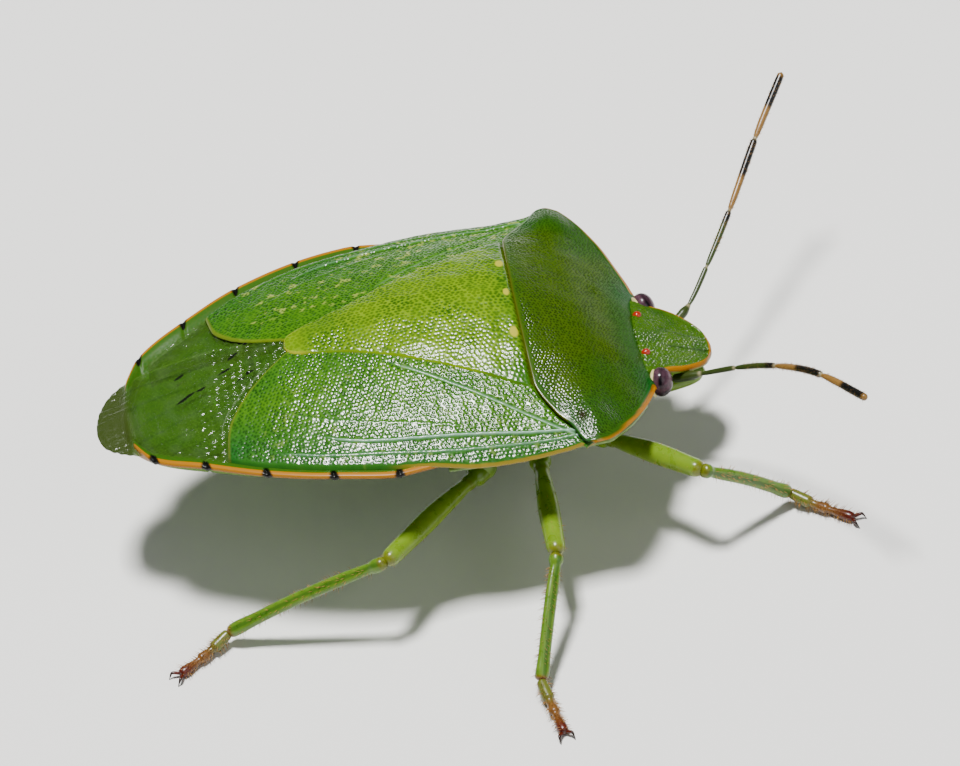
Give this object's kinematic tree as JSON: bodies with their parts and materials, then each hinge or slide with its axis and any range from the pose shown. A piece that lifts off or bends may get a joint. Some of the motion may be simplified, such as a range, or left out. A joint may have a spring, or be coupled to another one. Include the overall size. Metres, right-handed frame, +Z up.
{
  "type": "shield bug",
  "caption": "Life-size still model of a green shield bug, standing, with feelers raised, a large scutellum and folded veined wings.",
  "frame": {"origin": "middle of the footprint of the whole, on the floor that the six feet stand on", "axes": "+X to the head, +Y to the bug's left, +Z up"},
  "size_m": [0.0202, 0.021, 0.0065],
  "materials": {
    "pronotum": "glossy pitted green cuticle",
    "scutellum": "glossy pitted yellow-green cuticle",
    "forewing_corium": "glossy pitted green cuticle",
    "forewing_membrane": "clear veined wing membrane, see-through green",
    "femur": "smooth waxy green cuticle",
    "tibia": "grooved green cuticle with short bristles",
    "tarsus": "red-brown cuticle with bristles",
    "antenna": "dull banded cuticle, green and brown with black",
    "eye": "glossy compound eye, purple-brown",
    "beak": "smooth green cuticle",
    "head": "glossy wrinkled green cuticle with an orange margin",
    "thorax": "smooth pale green cuticle",
    "abdomen": "smooth green cuticle with an orange and black rim"
  },
  "bodies": {
    "root": {"pronotum": "pronotum", "scutellum": "scutellum", "forewing_corium_left": "forewing_corium", "forewing_membrane_left": "forewing_membrane", "forewing_corium_right": "forewing_corium", "forewing_membrane_right": "forewing_membrane", "leg_front_left_femur": "femur", "leg_front_left_tibia": "tibia", "leg_front_left_tarsus": "tarsus", "leg_front_right_femur": "femur", "leg_front_right_tibia": "tibia", "leg_front_right_tarsus": "tarsus", "leg_middle_left_femur": "femur", "leg_middle_left_tibia": "tibia", "leg_middle_left_tarsus": "tarsus", "leg_middle_right_femur": "femur", "leg_middle_right_tibia": "tibia", "leg_middle_right_tarsus": "tarsus", "leg_hind_left_femur": "femur", "leg_hind_left_tibia": "tibia", "leg_hind_left_tarsus": "tarsus", "leg_hind_right_femur": "femur", "leg_hind_right_tibia": "tibia", "leg_hind_right_tarsus": "tarsus", "antenna_left": "antenna", "eye_left": "eye", "antenna_right": "antenna", "eye_right": "eye", "beak": "beak", "head": "head", "thorax": "thorax", "abdomen": "abdomen"}
  },
  "joints": []
}
